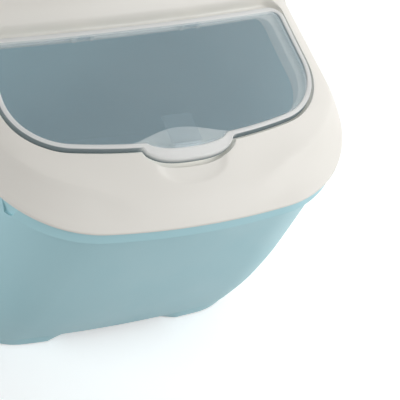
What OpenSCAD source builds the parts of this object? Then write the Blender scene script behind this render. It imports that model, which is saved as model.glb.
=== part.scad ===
// Rice bin with a lift-off cover and a flip lid.
// Millimetres, +Z up, front towards -Y. The origin is at floor level, in the middle of the
// cover's footprint.

/* [Overall] */
// Width of the cover, the widest piece
bin_w = 340; // [310:1:400]
// Depth of the cover
bin_d = 285; // [265:1:340]
// Height of the cover's lower edge above the floor
skirt_z = 224; // [160:1:300]

// How much the bin narrows to the back, on each side for each 100 mm of depth
side_taper = 4; // [0:0.5:5]

/* [Cover] */
// Wall thickness of the moulded cover
cover_wall = 2.5; // [2:0.1:3.5]
// Radius of the cover's bowed front
front_bow = 650; // [500:10:1200]
// Corner radius at the front of the cover
front_corner = 100; // [80:1:110]
// Radius of the cover's bowed back
rear_bow = 1500; // [900:10:3000]
// Corner radius at the back of the cover
rear_corner = 66; // [50:1:90]
// Rise from the skirt's lower edge to the lid's surface at its front edge
cover_rise = 36; // [30:1:50]
// Rise of the top surface towards the back, in degrees
top_slope = 4; // [1:0.5:6]
// How far the top surface falls from the middle to the side of the lid
crown_drop = 10; // [4:0.5:11]
// Height of the rear deck over the lid's surface
deck_rise = 13; // [8:1:18]
// Length of the roll that leads up to the rear deck
deck_run = 20; // [15:1:30]
// How far the rim of the recess lies below the lid's surface
recess_drop = 1.2; // [0:0.1:3]
// Depth of the finger scoop in front of the thumb tab
scoop_depth = 5; // [2:0.5:7]
// Half the width of the finger scoop
scoop_half = 40; // [30:1:50]

/* [Flip lid] */
// Width of the flip lid
lid_w = 288; // [260:1:300]
// Distance from the front of the cover to the front of the lid
lid_front = 57; // [50:1:66]
// Depth of the lid in the middle
lid_d = 120; // [110:1:130]
// Radius of the lid's bowed front
lid_bow = 373; // [320:1:600]
// Corner radius at the front of the lid
lid_corner = 61; // [45:1:66]
// Radius of the forward bow of the lid's rear edge
lid_rear_bow = 1000; // [900:10:3000]
// Corner radius at the back of the lid
lid_rear_corner = 12; // [10:1:16]
// Thickness of the lid's panel
lid_t = 2; // [1.6:0.1:2.4]
// Depth of the lid's rim below its crest
lid_rim = 5.5; // [4.5:0.5:6]
// Width of the lid's rim
rim_w = 4; // [3:0.5:5]
// Gap between the lid's rim and the recess that it lies in
lid_gap = 2.4; // [1.5:0.1:3]
// Length of the thumb tab
tab_len = 11.5; // [9:0.5:15]
// Half the width of the thumb tab at its root
tab_half = 41; // [32:1:48]
// Width of the solid band along the edge of the thumb tab
tab_band = 8.5; // [5:0.5:11]
// Fall of the thumb tab for each millimetre of its length
tab_fall = 0.3; // [0:0.05:0.4]

/* [Mouth] */
// Depth of the ledge below the undersides of the hinge's pins
ledge_depth = 2.45; // [2.1:0.05:5]
// Width of the ledge at the sides
ledge_side = 9.5; // [8:0.5:14]
// Width of the ledge at the front
ledge_front = 9; // [8:1:14]
// Distance between the lid's rear edge and the rear edge of the mouth
ledge_rear = 1; // [0:0.5:4]
// Height of the collar that hangs below the ledge round the mouth
mouth_lip = 10; // [4:0.5:12]
// How far the latch land reaches into the mouth
land_reach = 15; // [8:1:18]
// Half the width of the latch land
land_half = 62; // [50:1:75]

/* [Hinge] */
// Diameter of the hinge pins
pin_d = 2.5; // [2:0.5:3]
// Distance of each hinge from the middle
hinge_x = 50; // [40:1:60]
// Length of the lid's knuckles
knuckle_l = 12; // [8:1:16]
// Wall round the bore of a knuckle
knuckle_wall = 1.7; // [1.5:0.1:2]
// Thickness of the cover's hinge ears
ear_t = 3; // [2.5:0.5:4]

/* [Latch] */
// Width of the latch hook
hook_w = 23; // [16:1:30]
// Length of the tongue that stiffens the lid behind the hook
tongue_l = 27; // [20:1:40]
// How much wider the tongue is than the hook, on each side
tongue_side = 2; // [0:0.5:4]

/* [Tub] */
// Wall thickness of the tub
tub_wall = 2.6; // [2:0.1:3.5]
// Step from the cover's outline in to the tub's flange
flange_in = 1.5; // [1.5:0.5:5]
// Step from the flange in to the tub's wall
flange_step = 4; // [3:0.5:6]
// Height of the flange
flange_h = 15; // [12:1:18]
// Height of the rim that stands inside the cover
rim_h = 4; // [2.5:0.5:4]
// Width of the tub's base
base_w = 290; // [250:1:310]
// Depth of the tub's base
base_d = 205; // [180:1:230]
// Radius of the base's bowed front and back
base_bow = 1200; // [800:10:3000]
// Corner radius of the base
base_corner = 56; // [36:1:64]
// Distance from the front of the cover to the front of the base
base_front = 42; // [30:1:55]
// Height of the tub's underside above the floor
base_z = 12; // [9:1:16]
// How far the walls belly out between base and rim
belly = 5; // [0:1:8]
// Height of the finger notches in the flange, one at each front corner
notch_h = 13.5; // [8:0.5:14]
// Length of the finger notches
notch_l = 19; // [14:1:24]
// Depth of the finger notches
notch_depth = 6.5; // [4.5:0.5:7]

/* [Feet] */
// Diameter of the rubber feet
foot_d = 26; // [18:1:32]
// Distance of each foot from the middle of its side
foot_x = 64; // [50:1:100]
// Width of the arch between the moulded feet at the front and the back
arch_w = 76; // [60:1:110]
// Width of the arch between the moulded feet at each side
side_arch_w = 60; // [40:1:90]

/* [Hidden] */
$fn = 48;

// Points of one outline: those of each bowed edge, each corner and each side
n_bow = 12;
n_corner = 10;
n_side = 3;
n_half = 2 * (n_bow + n_corner + 1) + n_side;
n_ring = 2 * n_half - 2;

// Clearances
fit = 0.3;
pin_play = 0.05;
lid_clear = 1.2;

// Places on the Y axis
front_y = -bin_d / 2;
lid_y = front_y + lid_front;
lid_back = lid_y + lid_d;
base_y = front_y + base_front;

// Heights
lid_top = skirt_z + cover_rise;
flange_z = skirt_z - flange_h;
lid_dip = 0.5;

// The hinge's axis, just behind the lid's rear edge, and the ears that hold its pins
axis_back = 0.5;
axis_y = lid_back + axis_back;
ear_r = pin_d / 2 + 1.35;
axis_depth = lid_dip + lid_t + lid_clear + ear_r;
axis_z = lid_z(hinge_x, axis_y) - axis_depth;
ear_offset = (knuckle_l + ear_t) / 2 + fit;
// The recess leaves room for the lid's rear edge to swing back
wall_gap = axis_back + axis_depth + crown_drop * pow(hinge_x / (lid_w / 2), 2) + 1.5;
wall_y = lid_back + wall_gap;

// ---- Outlines ----
// An outline is [half width, front y, front bow, front corner, rear y, rear bow, rear corner].
// A bow is a radius, negative where the edge bows into the outline.
cover_shape = [bin_w / 2, front_y, front_bow, front_corner,
               front_y + bin_d, rear_bow, rear_corner];
lid_shape = [lid_w / 2, lid_y, lid_bow, lid_corner, lid_back, -lid_rear_bow, lid_rear_corner];
recess_shape = [lid_w / 2 + lid_gap, lid_y - lid_gap, lid_bow + lid_gap, lid_corner + lid_gap,
                wall_y, -lid_rear_bow + wall_gap, lid_rear_corner + lid_gap];
mouth_shape = [lid_w / 2 - ledge_side, lid_y + ledge_front, lid_bow - ledge_front,
               lid_corner - ledge_front, lid_back - ledge_rear, -lid_rear_bow - ledge_rear,
               lid_rear_corner];
wall_shape = grow(cover_shape, -flange_in - flange_step);
base_shape = [base_w / 2, base_y, base_bow, base_corner, base_y + base_d, base_bow, base_corner];

function mix(a, b, t) = a + (b - a) * t;
function clamp(t) = max(0, min(1, t));
function ease(t) = let (u = clamp(t)) u * u * (3 - 2 * u);
function grow(s, d) = [s[0] + d, s[1] - d, s[2] + d, max(s[3] + d, 2),
                       s[4] + d, s[5] + d, max(s[6] + d, 2)];

// How far the centre of a corner lies in from the crown of a bowed edge
function corner_in(bow, r, w) = bow - sign(bow) * sqrt(pow(bow - r, 2) - pow(w - r, 2));
// How far a bowed edge lies in from its crown at x
function bow_in(bow, x) = bow - sign(bow) * sqrt(bow * bow - x * x);

// A quarter outline from the crown of an edge to the side, as [x, distance in from the crown]
function quarter(w, bow, r) =
    let (c = corner_in(bow, r, w), a = atan2(w - r, abs(bow - c)))
    concat([for (i = [0:n_bow - 1]) let (t = a * i / n_bow) [abs(bow) * sin(t), bow - bow * cos(t)]],
           [for (i = [0:n_corner]) let (t = mix(sign(bow) * a, 90, i / n_corner))
               [w - r + r * sin(t), c - r * cos(t)]]);

// Outlines narrow to the back, from where the cover's front corners end
function narrow(p) =
    [p[0] * (1 - side_taper / 100 * max(0, p[1] - front_y - front_corner) / (bin_w / 2)), p[1]];
// A closed outline, anticlockwise from the middle of the front
function ring(s) =
    let (q = quarter(s[0], s[2], s[3]),
         p = quarter(s[0], s[5], s[6]),
         f = s[1] + q[n_bow + n_corner][1],
         b = s[4] - p[n_bow + n_corner][1],
         half = [for (v = concat([for (v = q) [v[0], s[1] + v[1]]],
                       [for (i = [1:n_side]) [s[0], mix(f, b, i / (n_side + 1))]],
                       [for (i = [n_bow + n_corner:-1:0]) [p[i][0], s[4] - p[i][1]]])) narrow(v)])
    concat(half, [for (i = [n_half - 2:-1:1]) [-half[i][0], half[i][1]]]);

// The half of an outline's points that belongs to its front, and how far each is in the rear
function half_index(i) = min(i, n_ring - i);
function is_front(i) = half_index(i) <= n_bow + n_corner;
function rearness(i) = ease((half_index(i) - n_bow - n_corner - n_side) / n_corner);

// The lid's outline with its thumb tab, drawn in by d
function tab(x, half) = abs(x) < half ? pow(1 - pow(abs(x) / half, 3), 0.6) : 0;
function lid_ring(d, len = tab_len) =
    let (p = ring(grow(lid_shape, -d)))
    [for (i = [0:n_ring - 1])
        is_front(i) ? p[i] - [0, len * tab(p[i][0], tab_half - d)] : p[i]];
// How far the tab runs out at the inner edge of its band
band_len = tab_len + rim_w - tab_band;
function recess_ring(d) =
    let (p = ring(grow(recess_shape, d)))
    [for (i = [0:n_ring - 1])
        is_front(i) ? p[i] - [0, tab_len * tab(p[i][0], tab_half + lid_gap + d)] : p[i]];
// The mouth's outline with the land that carries the latch, grown by d
function mouth_ring(d) =
    let (p = ring(grow(mouth_shape, d)))
    [for (i = [0:n_ring - 1])
        is_front(i) && abs(p[i][0]) < land_half
            ? p[i] + [0, land_reach * (0.5 + 0.5 * cos(180 * p[i][0] / land_half))] : p[i]];

// ---- Surfaces ----
// How far a point lies in front of the lid's front edge
function ahead(x, y) = lid_y + bow_in(lid_bow, min(abs(x), lid_w / 2)) - y;
// The lid's surface, which slopes up to the back, is crowned and falls at the tab
function lid_z(x, y) = lid_top + tan(top_slope) * (y - lid_y)
    - crown_drop * pow(x / (lid_w / 2), 2)
    - tab_fall * max(0, ahead(x, y)) * (1 - pow(x / (bin_w / 2), 2));
// The wall at the back of the recess, and the deck that rolls up from it
function deck_z(x, y) =
    let (from = wall_y - (bow_in(-lid_rear_bow, min(abs(x), bin_w / 2))))
    deck_rise * sin(90 * clamp((y - from) / deck_run));
// The finger scoop in front of the tab
function scoop_z(x, y) =
    let (d = 1 - pow(x / scoop_half, 2) - pow((y - lid_y + tab_len) / 17, 2))
    d > 0 ? scoop_depth * pow(d, 0.6) : 0;
function top_z(x, y) = lid_z(x, y) + deck_z(x, y) - scoop_z(x, y) - recess_drop;

// ---- Lofting ----
// A closed skin through rings of points, joined end to start when it is a loop
function skin_faces(count, loop) =
    [for (k = [0:count - (loop ? 1 : 2)], i = [0:n_ring - 1])
        let (a = k * n_ring, b = ((k + 1) % count) * n_ring, j = (i + 1) % n_ring)
        each [[b + i, b + j, a + i], [a + i, b + j, a + j]]];
module loft(rings) {
    n = len(rings);
    polyhedron(
        points = concat([for (r = rings) each r], [centre(rings[0]), centre(rings[n - 1])]),
        faces = concat(skin_faces(n, false),
            [for (i = [0:n_ring - 1]) [n * n_ring, i, (i + 1) % n_ring]],
            [for (i = [0:n_ring - 1])
                [n * n_ring + 1, (n - 1) * n_ring + (i + 1) % n_ring, (n - 1) * n_ring + i]]),
        convexity = 8);
}
module loft_loop(rings) {
    polyhedron(points = [for (r = rings) each r], faces = skin_faces(len(rings), true),
               convexity = 10);
}
function centre(r) = [for (k = [0:2]) (r[0][k] + r[n_half - 1][k]) / 2];
function at_z(r, z) = [for (p = r) [p[0], p[1], z]];

// ---- Cover ----
// Steps from the skirt's lower edge (0) to the edge of the recess (1): how far in, how far up
front_steps = [[0, 0], [0.01, 0.11], [0.05, 0.22], [0.12, 0.345], [0.2, 0.46], [0.3, 0.57],
               [0.4, 0.65], [0.5, 0.72], [0.65, 0.81], [0.8, 0.89], [0.92, 0.955], [1, 1]];
rear_steps = [[0, 0], [0.003, 0.2], [0.015, 0.42], [0.035, 0.62], [0.07, 0.8], [0.12, 0.92],
              [0.19, 0.98], [0.3, 1], [0.79, 1], [0.86, 1], [0.93, 1], [1, 1]];
function cover_ring(k, inset) =
    let (a = ring(grow(cover_shape, -inset)), b = recess_ring(inset))
    [for (i = [0:n_ring - 1])
        let (t = mix(front_steps[k], rear_steps[k], rearness(i)), p = mix(a[i], b[i], t[0]))
        [p[0], p[1], mix(skirt_z, top_z(p[0], p[1]) - inset, t[1])]];
// How far below the lid's surface the ledge lies
ledge_down = axis_depth + pin_d / 2 + ledge_depth;
function ledge_z(p) = lid_z(p[0], p[1]) - ledge_down;
function lower(r, d) = [for (p = r) [p[0], p[1], ledge_z(p) - d]];

module cover_shell() {
    last = len(front_steps) - 1;
    w = cover_wall;
    loft_loop(concat(
        [for (k = [0:last]) cover_ring(k, 0)],
        [lower(recess_ring(0), 0), lower(mouth_ring(0), 0),
         lower(mouth_ring(0), mouth_lip + w), lower(mouth_ring(w), mouth_lip + w),
         lower(mouth_ring(w), w), lower(recess_ring(w), w)],
        [for (k = [last:-1:1]) cover_ring(k, w)],
        [at_z(ring(grow(cover_shape, -w)), skirt_z)]));
}
// An ear that stands on the ledge beside a knuckle of the lid
module hinge_ear(x) {
    base = ledge_z([hinge_x, axis_y]) - 1;
    translate([x - ear_t / 2, axis_y, 0]) {
        translate([0, 0, axis_z]) rotate([0, 90, 0]) cylinder(r = ear_r, h = ear_t);
        translate([0, -ear_r, base]) cube([ear_t, 2 * ear_r, axis_z - base]);
    }
}
// The keeper in front of the latch hook
module keeper() {
    translate([-hook_w / 2 - 2, lid_y - hook_front - fit - 2.5, lid_top - ledge_down - 5])
        cube([hook_w + 4, 2.5, ledge_down - 2.5]);
}
module cover() {
    color("ivory") difference() {
        union() {
            cover_shell();
            keeper();
            for (s = [-1, 1], e = [-1, 1]) hinge_ear(s * hinge_x + e * ear_offset);
        }
        for (s = [-1, 1]) hinge_bore(s * hinge_x, pin_d, 2 * ear_offset + ear_t + 1);
    }
}
module hinge_bore(x, d, l) {
    translate([x - l / 2, axis_y, axis_z]) rotate([0, 90, 0]) cylinder(d = d, h = l);
}
module hinge_pin(x) {
    color("silver") hinge_bore(x, pin_d, 2 * ear_offset + ear_t);
}

// ---- Flip lid ----
// The rim is full depth at the front and sides, and runs out to the panel at the back
function rim_drop(i) = mix(lid_rim, lid_dip + lid_t, rearness(i));
// A crest stands on the rim at the front and sides
function crest(i) = mix(0.9, 0, rearness(i));
function on_lid(r, up) = [for (p = r) [p[0], p[1], lid_z(p[0], p[1]) + up]];
function rim_ring(inset, up, share, len = tab_len) =
    let (r = lid_ring(inset, len))
    [for (i = [0:n_ring - 1])
        [r[i][0], r[i][1], lid_z(r[i][0], r[i][1]) + up - share * rim_drop(i)
                           + (share == 0 ? crest(i) : 0)]];
// The panel's rings, drawn together towards its middle line
function panel_ring(f, up, len = tab_len) =
    let (r = lid_ring(rim_w + 1, len), m = (lid_y + lid_back) / 2)
    [for (p = r) let (x = p[0] * mix(0.35, 1, f), y = mix(m, p[1], f)) [x, y, lid_z(x, y) + up]];

module lid_shell() {
    under = -lid_dip - lid_t;
    loft(concat(
        [for (f = [0.06, 0.35, 0.65, 0.9]) panel_ring(f, under)],
        [on_lid(lid_ring(rim_w + 0.4), under),
         rim_ring(rim_w, -0.02, 1), rim_ring(0.4, -0.02, 1),
         rim_ring(0, -0.9, 0), rim_ring(0.5, -0.3, 0), rim_ring(1.4, 0, 0),
         rim_ring(rim_w - 1.4, 0, 0, band_len), rim_ring(rim_w - 0.5, -0.3, 0, band_len)],
        [for (f = [1, 0.8, 0.55, 0.3, 0.06]) panel_ring(f, -lid_dip, band_len)]));
}
module knuckle(x) {
    r = pin_d / 2 + knuckle_wall;
    translate([x - knuckle_l / 2, axis_y, axis_z]) {
        rotate([0, 90, 0]) cylinder(r = r, h = knuckle_l);
        translate([0, -r, 0]) cube([knuckle_l, r + 0.3, axis_depth - lid_dip - lid_t / 2]);
    }
}
module tongue() {
    z = lid_z(0, lid_y) - lid_dip - lid_t;
    w = hook_w + 2 * tongue_side;
    translate([-w / 2, lid_y + rim_w, z]) rotate([top_slope, 0, 0])
        translate([0, 0, -1.2]) cube([w, tongue_l, 1.4]);
}
module flip_lid() {
    color([0.72, 0.78, 0.8, 0.6]) difference() {
        union() {
            lid_shell();
            for (s = [-1, 1]) knuckle(s * hinge_x);
            tongue();
        }
        for (s = [-1, 1]) hinge_bore(s * hinge_x, pin_d + 2 * pin_play, knuckle_l + 2);
    }
}

// ---- Latch hook ----
// A white hook under the root of the thumb tab, with its nose towards the front
hook_front = 3;
module latch_hook() {
    under = lid_top - lid_dip - lid_t;
    color("white") translate([-hook_w / 2, lid_y, under])
        rotate([90, 0, 90]) linear_extrude(hook_w)
            polygon([[-hook_front, -1.3], [-hook_front, -2.6], [-1.8, -6.2], [0.2, -6.6],
                     [1.4, -5], [1.4, -2.6], [rim_w - 0.1, -2.4], [rim_w - 0.1, -0.5]]);
}

// ---- Tub ----
// The walls, as [share of the height from base to flange, how far out of the straight taper]
wall_steps = [[0, -1.6], [0.012, -0.7], [0.04, 0], [0.09, 0.25 * belly], [0.16, 0.6 * belly],
              [0.27, 0.9 * belly], [0.42, belly], [0.62, 0.7 * belly], [0.82, 0.3 * belly]];
// Where the notches lie, as a turn from the cover's side to its front round the corner
notch_turn = 31.5;
function lerp_shape(t) = [for (k = [0:6]) mix(base_shape[k], wall_shape[k], t)];
function share_z(t) = mix(base_z, flange_z, t);
function wall_ring(k, inset) =
    let (s = wall_steps[k]) at_z(ring(grow(lerp_shape(s[0]), s[1] - inset)), share_z(s[0]));

// The moulded feet carry the wall down round the corners to just over the floor. They end
// at a flat arch in the middle of each side, and curve in under the wall there.
skirt_in = 16;
skirt_clear = 1.2;
arch_end = 26;
foot_edge = 2;
corner_tuck = 6;
function footness(p) =
    min(clamp((abs(p[0]) - arch_w / 2) / arch_end),
        clamp((abs(p[1] - base_y - base_d / 2) - side_arch_w / 2) / arch_end));
// How far round a corner of the base a point lies, 0 at its ends
function turned(p) =
    clamp((abs(p[0]) - base_w / 2 + base_corner) / base_corner)
    * clamp((abs(p[1] - base_y - base_d / 2) - base_d / 2 + base_corner) / base_corner);
// The rings at a foot's sole: its inner edge, and its outer edge where inset is 0
function foot_ring(inset) =
    let (inner = ring(grow(base_shape, -skirt_in)), outer = ring(base_shape))
    [for (i = [0:n_ring - 1])
        let (f = footness(outer[i]),
             d = inset > 0 ? inset : mix(12, foot_edge + corner_tuck * turned(outer[i]), f),
             q = mix(outer[i], inner[i], d / skirt_in))
        [q[0], q[1], mix(base_z - 0.6, skirt_clear, clamp(2 * f))]];

module tub_shell() {
    last = len(wall_steps) - 1;
    w = tub_wall;
    rim_in = flange_in + flange_step + 3;
    flange = grow(cover_shape, -flange_in);
    rim = grow(cover_shape, -rim_in);
    loft(concat(
        [at_z(ring(grow(base_shape, -26)), base_z), at_z(ring(grow(base_shape, -skirt_in)), base_z),
         foot_ring(skirt_in - 0.6), foot_ring(0),
         at_z(ring(grow(base_shape, -foot_edge - 0.2)), base_z - 0.3)],
        [for (k = [0:last]) wall_ring(k, 0)],
        [at_z(ring(wall_shape), flange_z), at_z(ring(flange), flange_z + 0.8),
         at_z(ring(flange), skirt_z - fit), at_z(ring(rim), skirt_z - fit),
         at_z(ring(rim), skirt_z + rim_h), at_z(ring(grow(rim, -w)), skirt_z + rim_h)],
        [at_z(ring(grow(rim, -w)), flange_z), at_z(ring(grow(wall_shape, -w)), flange_z - 6)],
        [for (k = [last:-1:1]) wall_ring(k, w)],
        [at_z(ring(grow(base_shape, -w - 3)), base_z + w + 2),
         at_z(ring(grow(base_shape, -w - 26)), base_z + w)]));
}

// A notch under the cover's skirt at a front corner, high at its front end and running out
// to the back
module notch(side) {
    l = side * notch_l;
    translate([side * (bin_w / 2 - front_corner), front_y + front_corner, skirt_z - notch_h])
        rotate([0, 0, -side * notch_turn - (side < 0 ? 180 : 0)])
            translate([front_corner - notch_depth, 0, 0]) rotate([90, 0, 90])
                linear_extrude(notch_depth + 1)
                    polygon([[-0.3 * l, 3], [-0.23 * l, 0.8], [-0.1 * l, 0], [0.1 * l, 0],
                             [0.7 * l, notch_h + 1], [-0.3 * l, notch_h + 1]]);
}
module tub() {
    color("lightblue") difference() {
        tub_shell();
        for (s = [-1, 1]) notch(s);
    }
}

// ---- Feet ----
foot_in = skirt_in + bow_in(base_bow, foot_x + foot_d / 2) + foot_d / 2 + fit;
foot_y = base_y + foot_in;
foot_back_y = base_y + base_d - foot_in;
module foot(x, y) {
    color("dimgray") translate([x, y, 0]) difference() {
        cylinder(d1 = foot_d - 1.6, d2 = foot_d, h = base_z);
        translate([0, 0, -0.1]) cylinder(d = foot_d - 10, h = 1.3);
    }
}
module foot_front_left() { foot(-foot_x, foot_y); }
module foot_front_right() { foot(foot_x, foot_y); }
module foot_rear_left() { foot(-foot_x, foot_back_y); }
module foot_rear_right() { foot(foot_x, foot_back_y); }
module hinge_pin_left() { hinge_pin(-hinge_x); }
module hinge_pin_right() { hinge_pin(hinge_x); }

tub();
foot_front_left();
foot_front_right();
foot_rear_left();
foot_rear_right();
cover();
flip_lid();
latch_hook();
hinge_pin_left();
hinge_pin_right();
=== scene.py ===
import math

import bmesh
import bpy
import numpy as np
from mathutils import Matrix, Vector


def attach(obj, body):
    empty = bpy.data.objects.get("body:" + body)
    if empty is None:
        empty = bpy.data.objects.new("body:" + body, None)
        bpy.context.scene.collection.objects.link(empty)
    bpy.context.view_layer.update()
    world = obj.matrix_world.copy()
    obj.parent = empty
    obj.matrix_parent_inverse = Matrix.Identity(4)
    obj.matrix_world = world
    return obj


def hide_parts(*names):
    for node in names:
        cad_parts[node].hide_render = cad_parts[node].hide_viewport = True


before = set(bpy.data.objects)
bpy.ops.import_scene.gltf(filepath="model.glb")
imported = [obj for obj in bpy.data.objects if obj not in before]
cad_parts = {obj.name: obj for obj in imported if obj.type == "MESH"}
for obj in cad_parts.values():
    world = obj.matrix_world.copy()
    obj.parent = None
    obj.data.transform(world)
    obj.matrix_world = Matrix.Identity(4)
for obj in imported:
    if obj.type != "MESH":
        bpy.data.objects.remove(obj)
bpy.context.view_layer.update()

# ---------------------------------------------------------------- sizes, in millimetres
# The CAD source's driving dimensions, except that the scoop is a little smaller here, and that
# LEDGE_DEPTH is measured from the lid's surface, where the CAD measures it from the hinge's pins.
# First the cover's outline and its heights
BIN_W, BIN_D, SKIRT_Z, SIDE_TAPER = 340.0, 285.0, 224.0, 4.0
COVER_WALL = 2.5
FRONT_BOW, FRONT_CORNER, REAR_BOW, REAR_CORNER = 650.0, 100.0, 1500.0, 66.0
COVER_RISE, TOP_SLOPE, CROWN_DROP = 36.0, 4.0, 10.0
DECK_RISE, DECK_RUN, RECESS_DROP = 13.0, 20.0, 1.2
SCOOP_DEPTH, SCOOP_HALF, SCOOP_RUN = 3.5, 34.0, 17.0
# The lid, its tab, and the recess, ledge and mouth of the cover below it
LID_W, LID_FRONT, LID_D, LID_BOW, LID_CORNER = 288.0, 57.0, 120.0, 373.0, 61.0
LID_REAR_BOW, LID_REAR_CORNER = 1000.0, 12.0
LID_T, LID_RIM, RIM_W, RIM_CREST, LID_GAP, LID_DIP = 2.0, 5.5, 4.0, 0.9, 2.4, 0.5
TAB_LEN, TAB_HALF, TAB_BAND, TAB_FALL = 11.5, 41.0, 8.5, 0.3
LEDGE_DEPTH, LEDGE_SIDE, LEDGE_FRONT, LEDGE_REAR = 10.0, 9.5, 9.0, 1.0
MOUTH_LIP, REAR_LIP, LAND_REACH, LAND_HALF = 10.0, 0.8, 15.0, 62.0
# The hinge, then the latch: hook, keeper, and the pad on the lid behind them
PIN_D, PIN_PLAY, HINGE_X = 2.5, 0.05, 50.0
KNUCKLE_L, KNUCKLE_WALL, EAR_T, EAR_WALL = 12.0, 1.7, 3.0, 1.35
HOOK_W, HOOK_FRONT = 23.0, 3.0
KEEPER_T, KEEPER_H, KEEPER_DROP, KEEPER_SIDE = 2.5, 7.5, 15.0, 2.0
TONGUE_L, TONGUE_SIDE, TONGUE_T, TONGUE_CORNER = 27.0, 2.0, 1.2, 1.6
# The tub's wall, flange, rim, base, notches and feet
TUB_WALL, FLANGE_IN, FLANGE_STEP, FLANGE_H, RIM_H = 2.6, 1.5, 4.0, 15.0, 4.0
BASE_W, BASE_D, BASE_BOW, BASE_CORNER, BASE_FRONT, BASE_Z = 290.0, 205.0, 1200.0, 56.0, 42.0, 12.0
BELLY = 5.0
NOTCH_H, NOTCH_L, NOTCH_DEPTH, NOTCH_TURN = 13.5, 19.0, 6.5, 31.5
FOOT_D, FOOT_X, ARCH_W, SIDE_ARCH_W = 26.0, 64.0, 76.0, 60.0
SKIRT_IN, SKIRT_CLEAR, ARCH_END, FOOT_EDGE, CORNER_TUCK = 16.0, 1.2, 26.0, 2.0, 6.0
RIM_IN, FIT, LID_CLEAR = 3.0, 0.3, 1.2
# How far the flange leans in to its upper edge, out of sight below the skirt
FLANGE_LEAN = 3.4

FRONT_Y = -BIN_D / 2
LID_Y = FRONT_Y + LID_FRONT
LID_BACK = LID_Y + LID_D
BASE_Y = FRONT_Y + BASE_FRONT
LID_TOP = SKIRT_Z + COVER_RISE
FLANGE_Z = SKIRT_Z - FLANGE_H
AXIS_BACK = 0.5
AXIS_Y = LID_BACK + AXIS_BACK
EAR_R = PIN_D / 2 + EAR_WALL
AXIS_DEPTH = LID_DIP + LID_T + LID_CLEAR + EAR_R
WALL_GAP = AXIS_BACK + AXIS_DEPTH + CROWN_DROP * (HINGE_X / (LID_W / 2)) ** 2 + 1.5
WALL_Y = LID_BACK + WALL_GAP
EAR_OFFSET = (KNUCKLE_L + EAR_T) / 2 + FIT

# Points of one outline: those of half of each bowed edge, of each corner and of each side
N_BOW, N_CORNER, N_SIDE = 44, 30, 14
N_HALF = 2 * (N_BOW + N_CORNER + 1) + N_SIDE
N_RING = 2 * N_HALF - 2
HALF_INDEX = np.minimum(np.arange(N_RING), N_RING - np.arange(N_RING))


# Edges that turn by more than this shade as sharp
SHARP_DEGREES = 38


def mix(a, b, t):
    return a + (b - a) * t


def clamp(t):
    return np.clip(t, 0.0, 1.0)


def ease(t):
    """A smooth step from 0 to 1."""
    u = clamp(t)
    return u * u * (3 - 2 * u)


# Which points are on the front half, and how far each is round to the back
IS_FRONT = HALF_INDEX <= N_BOW + N_CORNER
REARNESS = ease((HALF_INDEX - N_BOW - N_CORNER - N_SIDE) / N_CORNER)


# ---------------------------------------------------------------- outlines
# An outline is half width, front y, front bow, front corner, rear y, rear bow, rear corner.
def grow(s, d):
    """The outline moved out by d."""
    return [s[0] + d, s[1] - d, s[2] + d, max(s[3] + d, 2.0),
            s[4] + d, s[5] + d, max(s[6] + d, 2.0)]


COVER_SHAPE = [BIN_W / 2, FRONT_Y, FRONT_BOW, FRONT_CORNER, FRONT_Y + BIN_D, REAR_BOW, REAR_CORNER]
LID_SHAPE = [LID_W / 2, LID_Y, LID_BOW, LID_CORNER, LID_BACK, -LID_REAR_BOW, LID_REAR_CORNER]
RECESS_SHAPE = [LID_W / 2 + LID_GAP, LID_Y - LID_GAP, LID_BOW + LID_GAP, LID_CORNER + LID_GAP,
                WALL_Y, -LID_REAR_BOW + WALL_GAP, LID_REAR_CORNER + LID_GAP]
MOUTH_SHAPE = [LID_W / 2 - LEDGE_SIDE, LID_Y + LEDGE_FRONT, LID_BOW - LEDGE_FRONT,
               LID_CORNER - LEDGE_FRONT, LID_BACK - LEDGE_REAR, -LID_REAR_BOW - LEDGE_REAR,
               LID_REAR_CORNER]
WALL_SHAPE = grow(COVER_SHAPE, -FLANGE_IN - FLANGE_STEP)
BASE_SHAPE = [BASE_W / 2, BASE_Y, BASE_BOW, BASE_CORNER, BASE_Y + BASE_D, BASE_BOW, BASE_CORNER]


def bow_in(bow, x):
    """How far a bowed edge of that radius has turned in at x; a negative bow turns out."""
    return bow - np.sign(bow) * np.sqrt(bow * bow - x * x)


def quarter(w, bow, r):
    """Half of a bowed edge with its corner, from the middle to the side, as (x, how far in)."""
    s = math.copysign(1, bow)
    c = bow - s * math.sqrt((bow - r) ** 2 - (w - r) ** 2)
    a = math.atan2(w - r, abs(bow - c))
    t = a * np.arange(N_BOW) / N_BOW
    u = mix(s * a, math.pi / 2, np.arange(N_CORNER + 1) / N_CORNER)
    return np.concatenate([
        np.stack([abs(bow) * np.sin(t), bow - bow * np.cos(t)], 1),
        np.stack([w - r + r * np.sin(u), c - r * np.cos(u)], 1)])


def ring(s):
    """The points of an outline, from the middle of the front round by the right."""
    q, p = quarter(s[0], s[2], s[3]), quarter(s[0], s[5], s[6])
    front = np.stack([q[:, 0], s[1] + q[:, 1]], 1)
    rear = np.stack([p[:, 0], s[4] - p[:, 1]], 1)[::-1]
    t = (np.arange(1, N_SIDE + 1) / (N_SIDE + 1))[:, None]
    side = mix(front[-1], rear[0], t)
    half = np.concatenate([front, side, rear])
    behind = np.maximum(0, half[:, 1] - FRONT_Y - FRONT_CORNER)
    half[:, 0] *= 1 - SIDE_TAPER / 100 * behind / (BIN_W / 2)
    other = half[N_HALF - 2:0:-1] * [-1, 1]
    return np.concatenate([half, other])


def tab(x, half):
    """The thumb tab's outline: a flat front with round shoulders, from 1 in the middle to 0."""
    return np.power(np.maximum(0, 1 - np.abs(x / half) ** 3), 0.6)


def tabbed(p, half, length=TAB_LEN):
    q = p.copy()
    q[:, 1] -= np.where(IS_FRONT, length * tab(p[:, 0], half), 0)
    return q


def lid_ring(d, length=TAB_LEN):
    return tabbed(ring(grow(LID_SHAPE, -d)), TAB_HALF - d, length)


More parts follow.
